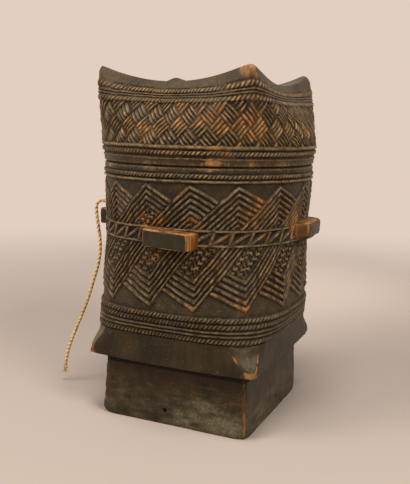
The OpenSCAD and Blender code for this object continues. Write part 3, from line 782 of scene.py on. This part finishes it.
def lug(name, node, angle, shift, low, seed, end_wear, rounding, tilt, long=26.5, face_wear=0.0):
    """A drilled and worn block on the side at an angle, shifted along it, with its foot at low."""
    rng = np.random.default_rng(seed)
    half = np.array([long / 2, lug_half_deep, lug_half_high])
    face = math.radians(angle)
    out = np.array([math.cos(face), math.sin(face), 0])
    side = np.array([-math.sin(face), math.cos(face), 0])
    mesh, p = lug_block(name, half, rounding, rng)
    p[:, 2] = np.clip(p[:, 2], -5.2, 5.2) + tilt * p[:, 0]
    place = p[:, :1] * side + (p[:, 1:2] + lug_middle_r) * out + shift * side
    place[:, 2] += p[:, 2] + low + lug_half_high
    mesh.vertices.foreach_set("co", (place * 0.001).ravel())
    piece = linked(name, mesh)
    bore = (shift + bore_along) * side + (lug_middle_r + bore_out) * out
    piece.data = drilled(piece, (bore[0], bore[1], low + lug_half_high))
    q = points_of(piece.data) * 1000
    p = np.stack([q @ side - shift, q @ out - lug_middle_r, q[:, 2] - low - lug_half_high], 1)
    p[:, 0] /= flare(half, p)
    p[:, 2] -= tilt * p[:, 0]
    for key, values in lug_marks(p, half, rng, end_wear, face_wear).items():
        mark = piece.data.attributes.new(key, "FLOAT", "POINT")
        mark.data.foreach_set("value", values.astype(np.float32))
    piece.data.materials.append(lug_wood)
    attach(piece, "container")
    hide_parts(node)


lug("front_lug", "lug_front", -90, 5.0, 115.95, 91, end_wear=1.0, rounding=1.5, tilt=-0.045, long=28.5)
lug("right_lug", "lug_right", 0, 2.0, 118.95, 92, end_wear=0.5, rounding=2.7, tilt=0.02, face_wear=0.6)
lug("back_lug", "lug_back", 90, 0.0, 118.95, 93, end_wear=0.8, rounding=1.9, tilt=0.015)
lug("left_lug", "lug_left", 180, 4.5, 118.95, 94, end_wear=0.0, rounding=1.6, tilt=0.0)

# Cord. A length of two-ply plant fibre, twisted by hand, comes up through the left lug,
# bends over its edge and hangs outside. Its end is cut and frays.
bore_mouth = np.array([-68.1, -13.45, 129.45])
route = bore_mouth + np.array([
    [0, 0, -10.8], [0, 0, -5.25], [0, 0, 0.4], [-0.53, -0.19, 2.5], [-1.97, -0.71, 4.04],
    [-3.95, -1.42, 4.6], [-5.92, -2.14, 4.04], [-7.37, -2.66, 2.5], [-7.9, -2.85, 0.4],
    [-7.8, -2.9, -3.5], [-7.3, -2.8, -8], [-6.6, -2.6, -13], [-5.7, -2.5, -19], [-5.2, -2.5, -25],
    [-5.5, -2.5, -32], [-7, -2.5, -40], [-10, -2.5, -49], [-13, -2.5, -58], [-17, -2.5, -69],
    [-21, -2.5, -78], [-25.5, -2.5, -88], [-29.5, -2.5, -97], [-32.5, -2.5, -105],
    [-34.5, -2.5, -113], [-35.5, -2.5, -120]])
ply_r, ply_off = 0.8, 0.42
ply_sides = 12
twist_length, fibre_length = 6.4, 4.0


def smooth_line(points, step):
    """A smooth line through points, with its points step mm apart."""
    last = len(points) - 1
    line = []
    for i in range(last):
        a, b, c, d = (points[min(max(i + k, 0), last)] for k in (-1, 0, 1, 2))
        for t in np.arange(0, 1, 0.05):
            line.append(0.5 * (2 * b + (c - a) * t + (2 * a - 5 * b + 4 * c - d) * t ** 2
                               + (3 * b - a - 3 * c + d) * t ** 3))
    line = np.array(line + [points[-1]])
    far = np.concatenate([[0], np.cumsum(np.linalg.norm(np.diff(line, axis=0), axis=1))])
    at = np.linspace(0, far[-1], int(round(far[-1] / step)) + 1)
    return np.stack([np.interp(at, far, line[:, k]) for k in range(3)], 1), at


def crossed(line):
    """Two directions across a line, carried along it without twist."""
    way = np.gradient(line, axis=0)
    way /= np.linalg.norm(way, axis=1)[:, None]
    u = np.cross(way[0], [0.0, 1.0, 0.1])
    across = []
    for w in way:
        u = u - w * (u @ w)
        u = u / np.linalg.norm(u)
        across.append(u)
    across = np.array(across)
    return across, np.cross(way, across)


def tube(line, radius, sides):
    """Points of a tube of varying radius along a line, row by row."""
    u, w = crossed(line)
    a = turns(sides)[None, :, None]
    r = np.broadcast_to(radius, (len(line), sides))[..., None]
    return (line[:, None] + r * (u[:, None] * np.cos(a) + w[:, None] * np.sin(a))).reshape(-1, 3)


def tube_faces(rows, sides, base):
    """Faces of a tube whose points start at base, with both ends closed."""
    faces = [(base + j * sides + i, base + j * sides + (i + 1) % sides,
              base + (j + 1) * sides + (i + 1) % sides, base + (j + 1) * sides + i)
             for j in range(rows - 1) for i in range(sides)]
    return faces + [tuple(base + i for i in reversed(range(sides))),
                    tuple(base + (rows - 1) * sides + i for i in range(sides))]


def twine(name, tubes):
    """One piece from tubes, each (line, radius, sides, share of the cord's length)."""
    points, faces, tail = [], [], []
    for line, radius, sides, share in tubes:
        faces += tube_faces(len(line), sides, sum(map(len, points)))
        points.append(tube(line, radius, sides))
        tail.append(np.repeat(np.broadcast_to(share, len(line)), sides))
    mesh = bpy.data.meshes.new(name)
    mesh.from_pydata((np.concatenate(points) * 0.001).tolist(), [], faces)
    mesh.shade_smooth()
    mark = mesh.attributes.new("tail", "FLOAT", "POINT")
    mark.data.foreach_set("value", np.concatenate(tail).astype(np.float32))
    return linked(name, mesh)


cord_line, cord_at = smooth_line(route, 0.5)
cord_u, cord_w = crossed(cord_line)
cord_length = cord_at[-1]
fibre_lay = 1 + 0.08 * np.cos(4 * (turns(ply_sides)[None] - 2 * np.pi * cord_at[:, None] / fibre_length))
plies = []
for start_angle in (0.0, np.pi):
    spin = start_angle + 2 * np.pi * cord_at / twist_length
    ply_line = cord_line + ply_off * (cord_u * np.cos(spin)[:, None] + cord_w * np.sin(spin)[:, None])
    plies.append((ply_line, ply_r * fibre_lay, ply_sides, cord_at / cord_length))
cord = twine("carrying_cord", plies)

# Frayed end: loose hairs of the fibre that spread a little below the cut
rng = np.random.default_rng(61)
t = np.linspace(0, 1, 7)[:, None]
hairs = []
for _ in range(44):
    start = cord_line[-1 - int(rng.integers(1, 9))]
    heading = np.array([-0.12 + rng.normal(0, 0.2), rng.normal(0, 0.22), -1.0])
    hair = start + rng.normal(0, 0.45, 3) + t * rng.uniform(2.6, 4.4) * heading
    hair = hair + t ** 2 * rng.normal(0, 0.6, 3) * [1, 1, 0.2]
    hairs.append((hair, np.linspace(0.2, 0.12, 7)[:, None], 5, 1.0))
fray = twine("frayed_end", hairs)


def plant_fibre(name, pale, tan, shade):
    """Dry twisted fibre: pale strands, darker in the twist and toward the knot."""
    f = Finish(bpy.data.materials.new(name))
    where = f.node("ShaderNodeTexCoord").of("Object")
    strands = f.cloud(f.stretched(where, (2600.0, 2600.0, 700.0)), 1.0, 3.0)
    stains = f.cloud(where, 110.0, 3.0)
    body = f.mix(tan, pale, f.between(strands, 0.35, 0.65))
    body = f.mix(body, shade, 0.55 * f.between(stains, 0.5, 0.72))
    # Painted shade toward the knot, where the cord runs through the lug and under it
    near_knot = 1.0 - f.between(f.mark("tail"), 0.0, 0.16)
    body = f.mix(body, shade, near_knot * 0.6)
    bump = f.node("ShaderNodeBump", {}, {"Strength": 0.5, "Distance": 0.0002, "Height": strands})
    return f.shown(f.node("ShaderNodeBsdfPrincipled", {}, {
        "Base Color": body, "Roughness": 0.78 + 0.15 * strands, "Normal": bump}))


dry_fibre = plant_fibre(
    "dry_plant_fibre", pale=stain(250, 220, 158), tan=stain(236, 190, 120), shade=stain(160, 110, 62))
for piece in (cord, fray):
    piece.data.materials.append(dry_fibre)
    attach(piece, "container")
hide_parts("cord")

# Knot. The cord's inner end is tied into a small overhand knot that stops it under the
# lug. It is the same fibre in darker colours, painted shade for the shadow under the lug.
knot_drop = np.array([0, 0, -13.1])
t = np.linspace(0, 2 * np.pi, 90, endpoint=False)
loop = [np.sin(t) + 1.6 * np.sin(2 * t), np.cos(t) - 1.6 * np.cos(2 * t), -1.5 * np.sin(3 * t)]
loop = np.stack(loop, 1)
loop = np.concatenate([loop, loop[:1]]) * [0.72, 0.72, 0.9]
knot_r = 0.8 + 0.07 * np.cos(np.arange(91) * 2.2)[:, None]
knot = twine("stopper_knot", [(loop + bore_mouth + knot_drop, knot_r, 10, 0.0)])
knot.data.materials.append(plant_fibre(
    "shaded_knot_fibre", pale=stain(150, 106, 62), tan=stain(112, 74, 40), shade=stain(66, 42, 24)))
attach(knot, "container")
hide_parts("cord_knot")

# Floor. A wide sheet of pale warm paper that the box stands on. It is matt near the box,
# where it takes the shadow, and fades into its own backdrop further off. From here sizes
# and places are in metres.
paper_rings = (0.3, 0.8, 1.6, 4.0)
spokes = 48
fade_near, fade_far = 0.22, 0.85
backdrop_colour = stain(226, 207, 193)


def paper_point(ring, spoke):
    """Number of a point on the sheet, after the one in the middle."""
    return 1 + ring * spokes + spoke % spokes


paper_points = [(0.0, 0.0, 0.0)] + [
    (r * math.cos(2 * math.pi * k / spokes), r * math.sin(2 * math.pi * k / spokes), 0.0)
    for r in paper_rings for k in range(spokes)]
paper_faces = [(0, paper_point(0, k), paper_point(0, k + 1)) for k in range(spokes)]
paper_faces += [
    (paper_point(j, k), paper_point(j + 1, k), paper_point(j + 1, k + 1), paper_point(j, k + 1))
    for j in range(len(paper_rings) - 1) for k in range(spokes)]
floor_mesh = bpy.data.meshes.new("paper_floor")
floor_mesh.from_pydata(paper_points, [], paper_faces)
floor = linked("paper_floor", floor_mesh)
paper = Finish(bpy.data.materials.new("pale_warm_paper"))
matt = paper.node("ShaderNodeBsdfPrincipled", {}, {
    "Base Color": stain(191, 175, 164), "Roughness": 0.9, "Specular IOR Level": 0.1})
glow = paper.node("ShaderNodeEmission", {}, {"Color": backdrop_colour, "Strength": 1.0})
where = paper.node("ShaderNodeTexCoord").of("Object")
far = paper.node("ShaderNodeVectorMath", {"operation": "LENGTH"}, {0: where}).of("Value")
fade = paper.between(far, fade_near, fade_far) * paper.seen()
floor_mesh.materials.append(paper.shown(paper.node("ShaderNodeMixShader", {}, {0: fade, 1: matt, 2: glow})))

# Studio light. Two large soft boxes in front, left and right, one overhead, a soft spot on
# the paper behind the box and an even fill from all around.
lamp_colour = (1.0, 0.965, 0.915)
lamp_aim = np.array([0.0, 0.0, 0.1])
sky = Finish(bpy.data.worlds.new("studio_fill"))
fill = sky.node("ShaderNodeBackground", {}, {"Color": (0.95, 0.93, 0.9, 1), "Strength": 0.24})
backdrop = sky.node("ShaderNodeBackground", {}, {"Color": backdrop_colour})
either = sky.node("ShaderNodeMixShader", {}, {0: sky.seen(), 1: fill, 2: backdrop})
bpy.context.scene.world = sky.shown(either, "ShaderNodeOutputWorld")


def stand(name, data, place, right, upward, behind):
    """A lamp or a camera in the scene, at a place and with these directions."""
    holder = linked(name, data)
    rows = [[*row, p] for row, p in zip(np.stack([right, upward, behind], 1), place)]
    holder.matrix_world = Matrix(rows + [[0, 0, 0, 1]])
    return holder


for name, place, size, power in (
        ("left_box", (-0.7, -0.75, 0.95), 0.6, 8.6), ("right_box", (0.9, -0.5, 0.95), 0.4, 7.4),
        ("top_box", (0.1, -0.3, 1.25), 0.4, 8.0)):
    lamp = bpy.data.lights.new(name, "AREA")
    lamp.size, lamp.energy, lamp.color = size, power, lamp_colour
    behind = place - lamp_aim
    behind /= np.linalg.norm(behind)
    right = np.cross([0.0, 1.0, 0.02], behind)
    right /= np.linalg.norm(right)
    stand(name, lamp, place, right, np.cross(behind, right), behind)
backdrop_spot = bpy.data.lights.new("backdrop_spot", "SPOT")
backdrop_spot.energy, backdrop_spot.color = 6.5, lamp_colour
backdrop_spot.spot_size, backdrop_spot.spot_blend = math.radians(40), 1.0
backdrop_spot.shadow_soft_size = 0.05
linked("backdrop_spot", backdrop_spot).location = (-0.073, 0.3615, 0.6)

# Camera. It stands where the photograph was taken from: a little above the lid, between
# front and right. Its place and lens were fitted to the corners of foot, skirt and lid.
photo_tall_px, focal_px, shift_px = 484, 705.56, -2.31
sensor_tall_mm = 36.0
target = np.array([0, 0, 0.10946])
distance = 0.46868
azimuth, elevation, roll = (math.radians(a) for a in (23.94, 9.59, 1.26))
behind = np.array([math.sin(azimuth) * math.cos(elevation), -math.cos(azimuth) * math.cos(elevation),
                   math.sin(elevation)])
level_right = np.array([math.cos(azimuth), math.sin(azimuth), 0.0])
level_up = np.cross(level_right, -behind)
right = level_right * math.cos(roll) + level_up * math.sin(roll)
upward = level_up * math.cos(roll) - level_right * math.sin(roll)
lens = bpy.data.cameras.new("camera")
lens.sensor_fit, lens.sensor_height = "VERTICAL", sensor_tall_mm
lens.lens = focal_px / photo_tall_px * sensor_tall_mm
lens.shift_x = shift_px / photo_tall_px
lens.clip_start, lens.clip_end = 0.01, 20.0
bpy.context.scene.camera = stand("camera", lens, target + distance * behind, right, upward, behind)
bpy.context.scene.view_settings.view_transform = "Standard"
